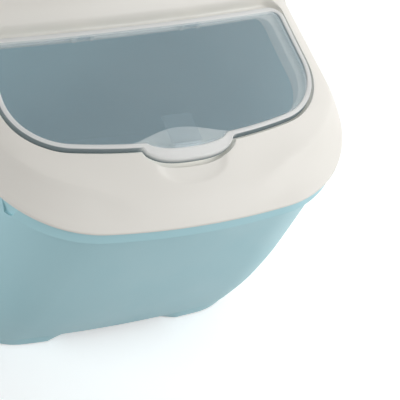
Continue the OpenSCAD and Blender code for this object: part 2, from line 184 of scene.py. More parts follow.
# How far the tab runs out at the inner edge of its solid band
BAND_LEN = TAB_LEN + RIM_W - TAB_BAND


def recess_ring(d):
    return tabbed(ring(grow(RECESS_SHAPE, d)), TAB_HALF + LID_GAP + d)


def mouth_ring(d):
    """The opening, with the land for the latch reaching into it at the front."""
    p = ring(grow(MOUTH_SHAPE, d))
    x = p[:, 0]
    land = LAND_REACH * (0.5 + 0.5 * np.cos(math.pi * x / LAND_HALF))
    p[:, 1] += np.where(IS_FRONT & (np.abs(x) < LAND_HALF), land, 0)
    return p


# ---------------------------------------------------------------- surfaces
def lid_z(x, y):
    """Height of the lid's crowned and sloping top, which falls away ahead of its front edge."""
    ahead = LID_Y + bow_in(LID_BOW, np.minimum(np.abs(x), LID_W / 2)) - y
    return (LID_TOP + math.tan(math.radians(TOP_SLOPE)) * (y - LID_Y)
            - CROWN_DROP * (x / (LID_W / 2)) ** 2
            - TAB_FALL * np.maximum(0, ahead) * (1 - (x / (BIN_W / 2)) ** 2))


def top_z(x, y):
    """Height of the cover's top: the lid's surface with the deck behind and the scoop ahead."""
    start = WALL_Y - bow_in(-LID_REAR_BOW, np.minimum(np.abs(x), BIN_W / 2))
    deck = DECK_RISE * np.sin(math.pi / 2 * clamp((y - start) / DECK_RUN))
    d = 1 - (x / SCOOP_HALF) ** 2 - ((y - LID_Y + TAB_LEN) / SCOOP_RUN) ** 2
    scoop = SCOOP_DEPTH * np.power(np.maximum(d, 0), 0.6) * ease(d / 0.35)
    return lid_z(x, y) + deck - scoop - RECESS_DROP


AXIS_Z = float(lid_z(np.array(HINGE_X), np.array(AXIS_Y))) - AXIS_DEPTH


def at_z(r, z):
    """The outline's points at that height, or at a height for each."""
    return np.concatenate([r, np.broadcast_to(z, (len(r),))[:, None]], 1)


def on_lid(r, up):
    """The outline's points on the lid's surface, moved up."""
    return at_z(r, lid_z(r[:, 0], r[:, 1]) + up)


def pchip(x, y, at):
    """A smooth curve through the points that doesn't overshoot them."""
    x, y, at = np.asarray(x, float), np.asarray(y, float), np.asarray(at, float)
    h, d = np.diff(x), np.diff(y) / np.diff(x)
    m = np.zeros(len(x))
    both = d[:-1] * d[1:] > 0
    w1, w2 = 2 * h[1:] + h[:-1], h[1:] + 2 * h[:-1]
    inner = np.zeros(len(d) - 1)
    inner[both] = (w1 + w2)[both] / (w1[both] / d[:-1][both] + w2[both] / d[1:][both])
    m[1:-1] = inner
    m[0], m[-1] = d[0], d[-1]
    i = np.clip(np.searchsorted(x, at, side="right") - 1, 0, len(h) - 1)
    t = (at - x[i]) / h[i]
    return ((1 + 2 * t) * (1 - t) ** 2 * y[i] + t * (1 - t) ** 2 * h[i] * m[i]
            + t * t * (3 - 2 * t) * y[i + 1] + t * t * (t - 1) * h[i] * m[i + 1])


# ---------------------------------------------------------------- mesh helpers
def rounded(items, loop):
    """Rings of points with each corner of the profile rounded: items are (ring, radius, steps)."""
    out = []
    n = len(items)
    for k, (b, r, steps) in enumerate(items):
        if np.all(np.asarray(r) <= 0) or (not loop and k in (0, n - 1)):
            out.append(b)
            continue
        a, c = items[k - 1][0], items[(k + 1) % n][0]
        la = np.linalg.norm(a - b, axis=1, keepdims=True) + 1e-9
        lc = np.linalg.norm(c - b, axis=1, keepdims=True) + 1e-9
        p = b + (a - b) * np.minimum(r / la, 0.45)
        q = b + (c - b) * np.minimum(r / lc, 0.45)
        for t in np.linspace(0, 1, steps + 1):
            out.append((1 - t) ** 2 * p + 2 * t * (1 - t) * b + t * t * q)
    return out


def plain(rings):
    """Rings as items of rounded() that keep their place."""
    return [(r, 0, 0) for r in rings]


def skin(rings, loop=False):
    """(vertices, faces) of a skin through rings, with fans at both ends unless it is a loop."""
    n = len(rings)
    m = len(rings[0])
    verts = np.concatenate(rings)
    i = np.arange(m)
    j = (i + 1) % m
    faces = []
    for k in range(n if loop else n - 1):
        a, b = k * m, ((k + 1) % n) * m
        faces += np.stack([a + i, a + j, b + j, b + i], 1).tolist()
    if not loop:
        verts = np.concatenate([verts, [rings[0].mean(0), rings[-1].mean(0)]])
        faces += np.stack([np.full(m, n * m), j, i], 1).tolist()
        last = (n - 1) * m
        faces += np.stack([np.full(m, n * m + 1), last + i, last + j], 1).tolist()
    return verts, faces


def join(parts):
    """(vertices, faces) of several such pairs together."""
    verts, faces, count = [], [], 0
    for v, f in parts:
        verts.append(np.asarray(v, float))
        faces += [[count + k for k in face] for face in f]
        count += len(v)
    return np.concatenate(verts), faces


def mark_sharp(mesh):
    bm = bmesh.new()
    bm.from_mesh(mesh)
    limit = math.radians(SHARP_DEGREES)
    for f in bm.faces:
        f.smooth = True
    for e in bm.edges:
        e.smooth = not (len(e.link_faces) == 2 and e.calc_face_angle(0) > limit)
    bm.to_mesh(mesh)
    bm.free()


def make_object(name, verts, faces, fix_normals=True):
    """An object from millimetres. An open skin keeps the normals that its faces have."""
    mesh = bpy.data.meshes.new(name)
    mesh.from_pydata((np.asarray(verts) / 1000).tolist(), [], faces)
    mesh.validate()
    if fix_normals:
        bm = bmesh.new()
        bm.from_mesh(mesh)
        bmesh.ops.recalc_face_normals(bm, faces=bm.faces)
        bm.to_mesh(mesh)
        bm.free()
    mark_sharp(mesh)
    obj = bpy.data.objects.new(name, mesh)
    bpy.context.scene.collection.objects.link(obj)
    return obj


def prism(profile, x0, x1, bevel, segments):
    """(vertices, faces) of a y-z profile drawn out along x, with its edges bevelled."""
    bm = bmesh.new()
    ends = [[bm.verts.new((x, p[0], p[1])) for p in profile] for x in (x0, x1)]
    n = len(profile)
    bm.faces.new(ends[0])
    bm.faces.new(ends[1][::-1])
    for k in range(n):
        a, b = k, (k + 1) % n
        bm.faces.new([ends[0][b], ends[0][a], ends[1][a], ends[1][b]])
    bmesh.ops.recalc_face_normals(bm, faces=bm.faces)
    bmesh.ops.bevel(bm, geom=list(bm.edges), offset=bevel, segments=segments,
                    profile=0.5, affect="EDGES", clamp_overlap=True)
    bm.verts.index_update()
    out = ([tuple(v.co) for v in bm.verts], [[v.index for v in f.verts] for f in bm.faces])
    bm.free()
    return out


def lathe(points, steps, axis, centre):
    """(vertices, faces) of (radius, height) points turned about x or z through centre."""
    verts, faces = [], []
    for r, h in points:
        for k in range(steps):
            a = 2 * math.pi * k / steps
            u, v = r * math.cos(a), r * math.sin(a)
            p = (u, v, h) if axis == "z" else (h, u, v)
            verts.append([p[i] + centre[i] for i in range(3)])
    for k in range(len(points) - 1):
        for i in range(steps):
            j = (i + 1) % steps
            faces.append([k * steps + i, k * steps + j, (k + 1) * steps + j, (k + 1) * steps + i])
    for row, flip in ((0, True), (len(points) - 1, False)):
        cap = [row * steps + i for i in range(steps)]
        faces.append(cap[::-1] if flip else cap)
    return verts, faces


def bored_block(outline, x0, x1, bore):
    """(vertices, faces) of a block along x round a bore on the hinge's axis. outline(angle) is
    its outer radius."""
    edge, steps = 0.3, 48
    angles = np.linspace(0, 2 * math.pi, steps, endpoint=False)
    outer = np.array([outline(a) for a in angles])
    unit = np.stack([np.cos(angles), np.sin(angles)], 1)

    def at(x, radius):
        p = unit * np.broadcast_to(radius, (steps,))[:, None]
        return np.stack([np.full(steps, x), AXIS_Y + p[:, 0], AXIS_Z + p[:, 1]], 1)

    rings = [at(x0, outer - edge), at(x0 + edge * 0.3, outer - edge * 0.3), at(x0 + edge, outer),
             at(x1 - edge, outer), at(x1 - edge * 0.3, outer - edge * 0.3), at(x1, outer - edge),
             at(x1, bore), at(x0, bore)]
    return skin(rings, loop=True)


def box_radius(angle, y0, y1, z0, z1):
    """Distance from the origin to the edge of a box that holds it, in the y-z plane."""
    c, s = math.cos(angle), math.sin(angle)
    best = 1e9
    if abs(c) > 1e-9:
        best = min(best, (y1 if c > 0 else y0) / c)
    if abs(s) > 1e-9:
        best = min(best, (z1 if s > 0 else z0) / s)
    return max(best, 0)


# ---------------------------------------------------------------- the cover
# Steps from the skirt's lower edge to the recess, as [how far in, how far up]: at the middle of
# the front, round the front corners, along the sides and at the back
FRONT_STEPS = [[0, 0], [0.01, 0.11], [0.05, 0.2], [0.12, 0.33], [0.19, 0.46], [0.26, 0.58],
               [0.33, 0.675], [0.4, 0.74], [0.5, 0.8], [0.65, 0.87], [0.85, 0.95], [1, 1]]
CORNER_STEPS = [[0, 0], [0.01, 0.11], [0.05, 0.19], [0.15, 0.32], [0.3, 0.525], [0.44, 0.715],
                [0.54, 0.86], [0.585, 0.91], [0.64, 0.935], [0.76, 0.96], [0.9, 0.985], [1, 1]]
SIDE_STEPS = [[0, 0], [0.01, 0.11], [0.05, 0.23], [0.12, 0.38], [0.2, 0.515], [0.3, 0.66],
              [0.38, 0.75], [0.46, 0.81], [0.56, 0.86], [0.7, 0.915], [0.87, 0.97], [1, 1]]
REAR_STEPS = [[0, 0], [0.003, 0.2], [0.015, 0.42], [0.035, 0.62], [0.07, 0.8], [0.12, 0.92],
              [0.19, 0.98], [0.3, 1], [0.79, 1], [0.86, 1], [0.93, 1], [1, 1]]
KNOTS = np.arange(len(FRONT_STEPS))
# How much of each point's profile is that of a front corner, and of a side
CORNERNESS = ease((HALF_INDEX - 0.55 * N_BOW) / (0.45 * N_BOW + 0.3 * N_CORNER))
SIDENESS = ease((HALF_INDEX - N_BOW - 0.5 * N_CORNER) / (0.5 * N_CORNER))


def step_at(steps, k):
    """A profile's point at step k, which may lie between two."""
    return np.array([float(pchip(KNOTS, [s[c] for s in steps], k)) for c in (0, 1)])


def profile_at(k):
    """The profile's point at step k for every point of the outline."""
    t = mix(step_at(FRONT_STEPS, k), step_at(CORNER_STEPS, k), CORNERNESS[:, None])
    t = mix(t, step_at(SIDE_STEPS, k), SIDENESS[:, None])
    return mix(t, step_at(REAR_STEPS, k), REARNESS[:, None])


# The same over the whole profile, to look up heights in
PROFILE = np.array([profile_at(k) for k in np.linspace(0, KNOTS[-1], 111)])


def cover_ring(k, inset):
    """Step k of the cover's shell. Its heights follow the outline without its tab, so that the
    front stays smooth below it."""
    t = profile_at(k)[:, 0]
    a, b = ring(grow(COVER_SHAPE, -inset)), recess_ring(inset)
    plain_edge = ring(grow(RECESS_SHAPE, inset))
    share = np.linalg.norm(b - a, axis=1) / np.linalg.norm(plain_edge - a, axis=1)
    up = np.array([np.interp(t[i] * share[i], PROFILE[:, i, 0], PROFILE[:, i, 1])
                   for i in range(N_RING)])
    p = mix(a, b, t[:, None])
    return at_z(p, mix(SKIRT_Z, top_z(p[:, 0], p[:, 1]) - inset, up))


def ledge_z(x, y):
    return lid_z(x, y) - LEDGE_DEPTH


def lower(r, d):
    """The outline's points on the ledge, moved down."""
    return at_z(r, ledge_z(r[:, 0], r[:, 1]) - d)


def cover_parts():
    """The shell, the keeper and the four ears."""
    last = len(FRONT_STEPS) - 1
    w = COVER_WALL
    fine = np.linspace(0, last, last * 5 + 1)
    lip = mix(MOUTH_LIP, REAR_LIP, REARNESS)
    items = [(cover_ring(0, 0), 0.7, 3)]
    items += plain([cover_ring(k, 0) for k in fine[2:-5]])
    items += [(cover_ring(last, 0), mix(1.1, 5.0, REARNESS[:, None]), 8),
              (lower(recess_ring(0), 0), 2.2, 5),
              (lower(mouth_ring(0), 0), 1.4, 5),
              (lower(mouth_ring(0), lip + w), 0.7, 3),
              (lower(mouth_ring(w), lip + w), 0.7, 3),
              (lower(mouth_ring(w), w), 1.0, 3),
              (lower(recess_ring(w), w), 1.0, 3)]
    items += plain([cover_ring(k, w) for k in np.linspace(last, 0, 24)[:-1]])
    items += [(at_z(ring(grow(COVER_SHAPE, -w)), SKIRT_Z), 0.6, 3)]
    shell = skin(rounded(items, True), loop=True)

    base = float(ledge_z(np.array(HINGE_X), np.array(AXIS_Y))) - 1

    def ear(angle):
        if math.sin(angle) < 0:
            return max(EAR_R, box_radius(angle, -EAR_R, EAR_R, base - AXIS_Z, 0))
        return EAR_R

    ears = []
    for side in (-1, 1):
        for end in (-1, 1):
            x = side * HINGE_X + end * EAR_OFFSET
            ears.append(bored_block(ear, x - EAR_T / 2, x + EAR_T / 2, PIN_D / 2))
    y, z = LID_Y - HOOK_FRONT - FIT - KEEPER_T, LID_TOP - KEEPER_DROP
    keeper = prism([(y, z), (y + KEEPER_T, z), (y + KEEPER_T, z + KEEPER_H), (y, z + KEEPER_H)],
                   -HOOK_W / 2 - KEEPER_SIDE, HOOK_W / 2 + KEEPER_SIDE, 0.5, 3)
    return [shell, keeper] + ears


# ---------------------------------------------------------------- the flip lid
def rim_ring(inset, up, share, length=TAB_LEN):
    """The rim at that share of its depth: its crest at 0, and its lower edge at 1."""
    r = lid_ring(inset, length)
    drop = mix(LID_RIM, LID_DIP + LID_T, REARNESS)
    crest = mix(RIM_CREST, 0.0, REARNESS) if share == 0 else 0.0
    return at_z(r, lid_z(r[:, 0], r[:, 1]) + up - share * drop + crest)


def panel_ring(f, up, length=TAB_LEN):
    """A ring across the panel, from near its middle at 0 to the rim at 1."""
    r = lid_ring(RIM_W + 1, length)
    x, y = r[:, 0] * mix(0.35, 1, f), mix((LID_Y + LID_BACK) / 2, r[:, 1], f)
    return on_lid(np.stack([x, y], 1), up)


def lid_parts():
    """The lid's shell, and its two knuckles."""
    under = -LID_DIP - LID_T
    items = plain([panel_ring(f, under) for f in np.linspace(0.04, 0.96, 14)])
    items += [(on_lid(lid_ring(RIM_W + 0.4), under), 0.5, 2),
              (rim_ring(RIM_W, -0.02, 1), 0.5, 2),
              (rim_ring(0.0, -0.02, 1), 0.6, 3),
              (rim_ring(0, 0, 0), 1.4, 6),
              (rim_ring(RIM_W, 0, 0, BAND_LEN), 1.1, 5),
              (panel_ring(1, -LID_DIP, BAND_LEN), 0.6, 2)]
    items += plain([panel_ring(f, -LID_DIP, BAND_LEN) for f in np.linspace(0.96, 0.04, 20)])
    shell = skin(rounded(items, False))
    r = PIN_D / 2 + KNUCKLE_WALL
    top = AXIS_DEPTH - LID_DIP - LID_T + 0.3

    def knuckle(angle):
        if math.sin(angle) > 0:
            return max(r, box_radius(angle, -r, 0.3, 0, top))
        return r

    knuckles = [bored_block(knuckle, s * HINGE_X - KNUCKLE_L / 2, s * HINGE_X + KNUCKLE_L / 2,
                            PIN_D / 2 + PIN_PLAY) for s in (-1, 1)]
    return shell, knuckles


def tongue_part():
    """The pad that stiffens the lid behind the hook, open where it meets the panel."""
    z0 = float(lid_z(np.array(0.0), np.array(LID_Y))) - LID_DIP - LID_T
    slope = math.tan(math.radians(TOP_SLOPE))
    y0, y1 = LID_Y + RIM_W, LID_Y + RIM_W + TONGUE_L
    half, depth, r = HOOK_W / 2 + TONGUE_SIDE, TONGUE_T, TONGUE_CORNER
    per_corner = 7

    def outline(d, drop):
        pts = []
        for cx, cy, a0 in ((half - r, y0 + r, -90), (half - r, y1 - r, 0),
                           (-half + r, y1 - r, 90), (-half + r, y0 + r, 180)):
            for k in range(per_corner):
                a = math.radians(a0 + 90 // (per_corner - 1) * k)
                x, y = cx + (r - d) * math.cos(a), cy + (r - d) * math.sin(a)
                pts.append((x, y, z0 + slope * (y - LID_Y) - drop))
        return np.array(pts)

    rings = [outline(0, -0.05), outline(0, depth - 0.5), outline(0.15, depth - 0.15),
             outline(0.5, depth)]
    verts, faces = skin(rings)
    top = len(rings) * 4 * per_corner
    return verts, [f for f in faces if top not in f]


# ---------------------------------------------------------------- the tub
# The wall's belly from the base to the flange, as [how far up, how far out]
WALL_STEPS = [[0, -1.6], [0.012, -0.7], [0.04, 0], [0.09, 0.25 * BELLY], [0.16, 0.6 * BELLY],
              [0.27, 0.9 * BELLY], [0.42, BELLY], [0.62, 0.7 * BELLY], [0.82, 0.3 * BELLY], [1, 0]]


def wall_ring(t, inset):
    """The wall at that share of its height."""
    out = float(pchip([s[0] for s in WALL_STEPS], [s[1] for s in WALL_STEPS], t))
    shape = [mix(BASE_SHAPE[k], WALL_SHAPE[k], t) for k in range(7)]
    return at_z(ring(grow(shape, out - inset)), mix(BASE_Z, FLANGE_Z, t))


def footness(p):
    """1 at the moulded feet, 0 under the arches between them."""
    return np.minimum(clamp((np.abs(p[:, 0]) - ARCH_W / 2) / ARCH_END),
                      clamp((np.abs(p[:, 1] - BASE_Y - BASE_D / 2) - SIDE_ARCH_W / 2) / ARCH_END))


def foot_ring(inset):
    """The lower edge of the moulded feet and arches: outer at an inset of 0, else that far in."""
    inner, outer = ring(grow(BASE_SHAPE, -SKIRT_IN)), ring(BASE_SHAPE)
    f = footness(outer)
    turned = (clamp((np.abs(outer[:, 0]) - BASE_W / 2 + BASE_CORNER) / BASE_CORNER)
              * clamp((np.abs(outer[:, 1] - BASE_Y - BASE_D / 2) - BASE_D / 2 + BASE_CORNER)
                      / BASE_CORNER))
    d = np.full(N_RING, inset) if inset > 0 else mix(12, FOOT_EDGE + CORNER_TUCK * turned, f)
    q = mix(outer, inner, (d / SKIRT_IN)[:, None])
    return at_z(q, mix(BASE_Z - 0.6, SKIRT_CLEAR, clamp(2 * f)))


def tub_mesh():
    """The tub from the middle of its underside, round the rim, to the middle of its floor."""
    w = TUB_WALL
    flange = grow(COVER_SHAPE, -FLANGE_IN)
    rim = grow(COVER_SHAPE, -FLANGE_IN - FLANGE_STEP - RIM_IN)
    ts = np.concatenate([[0, 0.006, 0.012, 0.024], np.linspace(0.04, 1, 30)])
    items = plain([at_z(ring(grow(BASE_SHAPE, -d)), BASE_Z) for d in (95, 70, 45)])
    items += [(at_z(ring(grow(BASE_SHAPE, -26)), BASE_Z), 0, 0),
              (at_z(ring(grow(BASE_SHAPE, -SKIRT_IN)), BASE_Z), 2, 4),
              (foot_ring(SKIRT_IN - 0.6), 1.6, 4), (foot_ring(0), 1.8, 4),
              (at_z(ring(grow(BASE_SHAPE, -FOOT_EDGE - 0.2)), BASE_Z - 0.3), 0.2, 2)]
    items += plain([wall_ring(t, 0) for t in ts[:-1]])
    items += [(at_z(ring(WALL_SHAPE), FLANGE_Z), 1.4, 4),
              (at_z(ring(grow(flange, 0.4)), FLANGE_Z + 0.8), 1.2, 4),
              (at_z(ring(grow(flange, -FLANGE_LEAN)), SKIRT_Z - FIT), 0.8, 3),
              (at_z(ring(rim), SKIRT_Z - FIT), 0.8, 3),
              (at_z(ring(rim), SKIRT_Z + RIM_H), 0.8, 4),
              (at_z(ring(grow(rim, -w)), SKIRT_Z + RIM_H), 0.8, 4),
              (at_z(ring(grow(rim, -w)), FLANGE_Z), 3, 4),
              (at_z(ring(grow(WALL_SHAPE, -w)), FLANGE_Z - 6), 3, 4)]
    items += plain([wall_ring(t, w) for t in np.linspace(0.93, 0.06, 18)])
    items += [(wall_ring(0.03, w), 0, 0),
              (at_z(ring(grow(BASE_SHAPE, -w - 3)), BASE_Z + w + 2), 3, 3),
              (at_z(ring(grow(BASE_SHAPE, -w - 26)), BASE_Z + w), 6, 3)]
    items += plain([at_z(ring(grow(BASE_SHAPE, -w - d)), BASE_Z + w) for d in (50, 70, 92)])
    return skin(rounded(items, False))


def notch_cutter(side):
    """What cuts the finger notch into the flange at a front corner."""
    l = side * NOTCH_L
    profile = [(-0.3 * l, 3), (-0.23 * l, 0.8), (-0.1 * l, 0), (0.1 * l, 0),
               (0.7 * l, NOTCH_H + 1), (-0.3 * l, NOTCH_H + 1)]
    if side < 0:
        profile = profile[::-1]
    verts, faces = prism(profile, 0, NOTCH_DEPTH + 1, 0.6, 3)
    turn = math.radians(-side * NOTCH_TURN - (180 if side < 0 else 0))
    place = (Matrix.Translation((side * (BIN_W / 2 - FRONT_CORNER), FRONT_Y + FRONT_CORNER,
                                 SKIRT_Z - NOTCH_H))
             @ Matrix.Rotation(turn, 4, "Z")
             @ Matrix.Translation((FRONT_CORNER - NOTCH_DEPTH, 0, 0)))
    return [tuple(place @ Vector(v)) for v in verts], faces


def cut(obj, cutters):
    """Cuts the objects out of obj, and removes them."""
    for c in cutters:
        m = obj.modifiers.new("cut", "BOOLEAN")
        m.operation = "DIFFERENCE"
        m.solver = "EXACT"
        m.object = c
    graph = bpy.context.evaluated_depsgraph_get()
    mesh = bpy.data.meshes.new_from_object(obj.evaluated_get(graph))
    old = obj.data
    obj.modifiers.clear()
    obj.data = mesh
    mesh.name = obj.name
    bpy.data.meshes.remove(old)
    for c in cutters:
        bpy.data.objects.remove(c)
    mark_sharp(mesh)


# ---------------------------------------------------------------- materials
def srgb(h):
    """Blender's linear colour, opaque, of one written as rrggbb."""
    c = [int(h[i:i + 2], 16) / 255 for i in (0, 2, 4)]
    return tuple(v / 12.92 if v <= 0.04045 else ((v + 0.055) / 1.055) ** 2.4 for v in c) + (1.0,)


class Nodes:
    """A material's nodes, with short ways to add and join them."""

    def __init__(self, name):
        self.mat = bpy.data.materials.new(name)
        self.mat.use_nodes = True
        self.tree = self.mat.node_tree
        self.bsdf = self.tree.nodes["Principled BSDF"]
        self.out = self.tree.nodes["Material Output"]
        self.place = self.add("ShaderNodeTexCoord").outputs["Object"]

    def add(self, kind, **settings):
        n = self.tree.nodes.new(kind)
        for k, v in settings.items():
            setattr(n, k, v)
        return n

    def link(self, a, b):
        self.tree.links.new(a, b)
        return b

    def noise(self, scale, detail=3.0, roughness=0.5, stretch=None):
        n = self.add("ShaderNodeTexNoise")
        n.inputs["Scale"].default_value = scale
        n.inputs["Detail"].default_value = detail
        n.inputs["Roughness"].default_value = roughness
        source = self.place
        if stretch:
            m = self.add("ShaderNodeMapping")
            m.inputs["Scale"].default_value = stretch
            self.link(self.place, m.inputs["Vector"])
            source = m.outputs["Vector"]
        self.link(source, n.inputs["Vector"])
        return n.outputs["Fac"]

    def span(self, value, lo, hi, to_lo, to_hi):
        n = self.add("ShaderNodeMapRange")
        for key, v in (("From Min", lo), ("From Max", hi), ("To Min", to_lo), ("To Max", to_hi)):
            n.inputs[key].default_value = v
        self.link(value, n.inputs["Value"])
        return n.outputs["Result"]

    def math(self, op, a, b):
        n = self.add("ShaderNodeMath", operation=op)
        for i, v in enumerate((a, b)):
            if isinstance(v, (int, float)):
                n.inputs[i].default_value = v
            else:
                self.link(v, n.inputs[i])
        return n.outputs[0]

    def blend(self, factor, a, b):
        n = self.add("ShaderNodeMix", data_type="RGBA")
        for key, v in ((0, factor), (6, a), (7, b)):
            if isinstance(v, (int, float, tuple)):
                n.inputs[key].default_value = v
            else:
                self.link(v, n.inputs[key])
        return n.outputs[2]

    def bump(self, height, strength, distance, under=None):
        n = self.add("ShaderNodeBump")
        n.inputs["Strength"].default_value = strength
        n.inputs["Distance"].default_value = distance
        self.link(height, n.inputs["Height"])
        if under is not None:
            self.link(under, n.inputs["Normal"])
        return n.outputs["Normal"]

    def edges(self, lo, hi):
        g = self.add("ShaderNodeNewGeometry")
        return self.span(g.outputs["Pointiness"], lo, hi, 0.0, 1.0)


def moulded(name, base, shade, light, rough):
    """Satin injection-moulded plastic: spark-eroded grain, faint flow marks, worn edges."""
    grain, wear = 0.05, 0.35
    m = Nodes(name)
    cloud = m.span(m.noise(5.5, 2.0), 0.35, 0.65, 0.0, 1.0)
    flow = m.span(m.noise(26, 4.0, 0.6, (1.0, 1.0, 0.22)), 0.3, 0.7, 0.0, 1.0)
    colour = m.blend(m.math("MULTIPLY", cloud, 0.35), srgb(base), srgb(shade))
    colour = m.blend(m.math("MULTIPLY", flow, 0.07), colour, srgb(light))
    worn = m.math("MULTIPLY", m.edges(0.53, 0.6), m.span(m.noise(120, 3.0), 0.4, 0.65, 0.2, 1.0))
    colour = m.blend(m.math("MULTIPLY", worn, wear), colour, srgb(light))
    speck = m.span(m.noise(420, 1.0), 0.73, 0.78, 0.0, 1.0)
    colour = m.blend(m.math("MULTIPLY", speck, 0.12), colour, srgb(shade))
    m.link(colour, m.bsdf.inputs["Base Color"])
    smudge = m.span(m.noise(17, 3.0, 0.55), 0.35, 0.7, rough - 0.05, rough + 0.07)
    scuff = m.span(m.noise(300, 2.0, 0.5, (1.0, 0.12, 1.0)), 0.62, 0.75, 0.0, 0.06)
    m.link(m.math("ADD", smudge, scuff), m.bsdf.inputs["Roughness"])
    fine = m.noise(2600, 2.0, 0.6)
    wave = m.noise(34, 2.0)
    normal = m.bump(wave, 0.06, 0.0006)
    m.link(m.bump(fine, grain, 0.0001, normal), m.bsdf.inputs["Normal"])
    m.bsdf.inputs["IOR"].default_value = 1.49
    m.bsdf.inputs["Specular IOR Level"].default_value = 0.35
    return m.mat


def frosted(name):
    """Smoky see-through plastic with a fine frost: whiter and denser in its thicker rim, whose
    white is partly a painted highlight, and with painted shade, dark and dense, on the rim's outer
    side."""
    m = Nodes(name)
    # The first mask is the rim's white, which is partly the rim's denser frost and partly a
    # painted highlight
    rim = m.add("ShaderNodeAttribute", attribute_name="thick_and_highlit").outputs["Fac"]
    # The second mask is painted shade: the dark of the rim's outer side stands in for the shadow
    # down in the gap
    side = m.add("ShaderNodeAttribute", attribute_name="edge").outputs["Fac"]
    cloud = m.span(m.noise(9, 3.0, 0.6), 0.3, 0.7, 0.0, 1.0)
    panel = m.blend(cloud, srgb(PANEL_DARK), srgb(PANEL_LIGHT))
    colour = m.blend(side, m.blend(rim, panel, srgb(RIM_WHITE_AND_HIGHLIGHT)), srgb(RIM_PAINTED_SHADE))
    m.link(colour, m.bsdf.inputs["Base Color"])
    haze = m.span(m.noise(14, 4.0, 0.6), 0.3, 0.7, -0.015, 0.015)
    pad = m.add("ShaderNodeAttribute", attribute_name="pad").outputs["Fac"]
    dense = m.math("ADD", m.span(rim, 0, 1, PANEL_ALPHA, RIM_ALPHA), haze)
    dense = m.math("MULTIPLY", dense, m.span(pad, 0, 1, 1.0, PAD_SHARE))
    # The painted shade on the rim's outer side is made dense, so that it hides what lies behind it
    m.link(m.math("MAXIMUM", dense, m.math("MULTIPLY", side, RIM_SHADE_ALPHA)), m.bsdf.inputs["Alpha"])
    frost = m.noise(1500, 3.0, 0.65)
    m.link(m.span(m.noise(22, 3.0), 0.3, 0.7, 0.34, 0.46), m.bsdf.inputs["Roughness"])
    m.link(m.bump(frost, 0.08, 0.0001), m.bsdf.inputs["Normal"])
    m.bsdf.inputs["IOR"].default_value = 1.49
    m.bsdf.inputs["Specular IOR Level"].default_value = 0.35
    lets_through = m.add("ShaderNodeBsdfTransparent")
    lets_through.inputs["Color"].default_value = SHADOW_TINT
    either = m.add("ShaderNodeMixShader")
    m.link(m.add("ShaderNodeLightPath").outputs["Is Shadow Ray"], either.inputs["Fac"])
    m.link(m.bsdf.outputs[0], either.inputs[1])
    m.link(lets_through.outputs[0], either.inputs[2])
    m.link(either.outputs[0], m.out.inputs["Surface"])
    return m.mat


def rubber(name):
    """Dark matt rubber with dust in its grain."""
    m = Nodes(name)
    dust = m.span(m.noise(90, 4.0, 0.6), 0.45, 0.75, 0.0, 1.0)
    colour = m.blend(m.math("MULTIPLY", dust, 0.4), srgb("34393a"), srgb("5a5f60"))
    m.link(colour, m.bsdf.inputs["Base Color"])
    m.link(m.span(m.noise(60, 3.0), 0.3, 0.7, 0.62, 0.82), m.bsdf.inputs["Roughness"])
    m.link(m.bump(m.noise(1400, 3.0), 0.25, 0.0002), m.bsdf.inputs["Normal"])
    m.bsdf.inputs["Specular IOR Level"].default_value = 0.3
    return m.mat


def drawn_steel(name):
    """Steel wire with fine lines along x, as it is drawn."""
    m = Nodes(name)
    lines = m.noise(900, 3.0, 0.5, (0.06, 1.0, 1.0))
    m.link(m.blend(lines, srgb("a9adb0"), srgb("c9cccd")), m.bsdf.inputs["Base Color"])
    m.link(m.span(lines, 0.3, 0.7, 0.22, 0.38), m.bsdf.inputs["Roughness"])
    m.link(m.bump(lines, 0.15, 0.00005), m.bsdf.inputs["Normal"])
    m.bsdf.inputs["Metallic"].default_value = 1.0
    return m.mat


# The lid's colours, with the rim's white partly a painted highlight and the dark of its outer side
# painted shade, how opaque each part of it is, and what its shadow lets through
PANEL_DARK, PANEL_LIGHT, RIM_WHITE_AND_HIGHLIGHT, RIM_PAINTED_SHADE = "98abb3", "9fb1b8", "e6e6e4", "607176"
PANEL_ALPHA, RIM_ALPHA, RIM_SHADE_ALPHA = 0.4, 0.85, 0.85
PAD_SHARE, SHADOW_TINT = 0.55, (0.93, 0.95, 0.96, 1)
TUB_PLASTIC = moulded("tub_blue", "b5dfe7", "aed9e2", "d0ecf2", rough=0.44)
COVER_PLASTIC = moulded("cover_ivory", "e9e6df", "e4e0d8", "f3f1ec", rough=0.4)
LID_PLASTIC = frosted("lid_frosted")
HOOK_PLASTIC = moulded("hook_white", "f0f0ee", "e8e8e6", "fafafa", rough=0.35)
FOOT_RUBBER = rubber("foot_rubber")
PIN_STEEL = drawn_steel("pin_steel")


def finish_piece(obj, mat, body, slot, *nodes):
    """Gives a piece its material and body, and hides the CAD nodes that it stands for; slot is not
    used.
    """
    obj.data.materials.clear()
    obj.data.materials.append(mat)
    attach(obj, body)
    if nodes:
        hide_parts(*nodes)


# ---------------------------------------------------------------- the pieces
tub = make_object("tub_moulding", *tub_mesh())
cutters = [make_object("notch_" + n, *notch_cutter(s)) for s, n in ((-1, "left"), (1, "right"))]
cut(tub, cutters)
finish_piece(tub, TUB_PLASTIC, "bin", "tub_plastic", "tub")

cover = make_object("cover_moulding", *join(cover_parts()))
finish_piece(cover, COVER_PLASTIC, "cover", "cover_plastic", "cover")

lid_shell, lid_knuckles = lid_parts()
lid = make_object("flip_lid_moulding", *join([lid_shell] + lid_knuckles))
tongue = make_object("lid_tongue_pad", *tongue_part(), fix_normals=False)
finish_piece(lid, LID_PLASTIC, "lid", "lid_plastic", "flip_lid")
finish_piece(tongue, LID_PLASTIC, "lid", "lid_plastic")


def beyond(co, r):
    """How far in millimetres each point lies outside a ring."""
    centre = np.array([0.0, (LID_Y + LID_BACK) / 2])
    angle = np.arctan2(r[:, 1] - centre[1], r[:, 0])
    order = np.argsort(angle)
    radius = np.hypot(r[:, 0], r[:, 1] - centre[1])
    a = np.arctan2(co[:, 1] - centre[1], co[:, 0])
    limit = np.interp(a, angle[order], radius[order], period=2 * math.pi)
    return np.hypot(co[:, 0], co[:, 1] - centre[1]) - limit


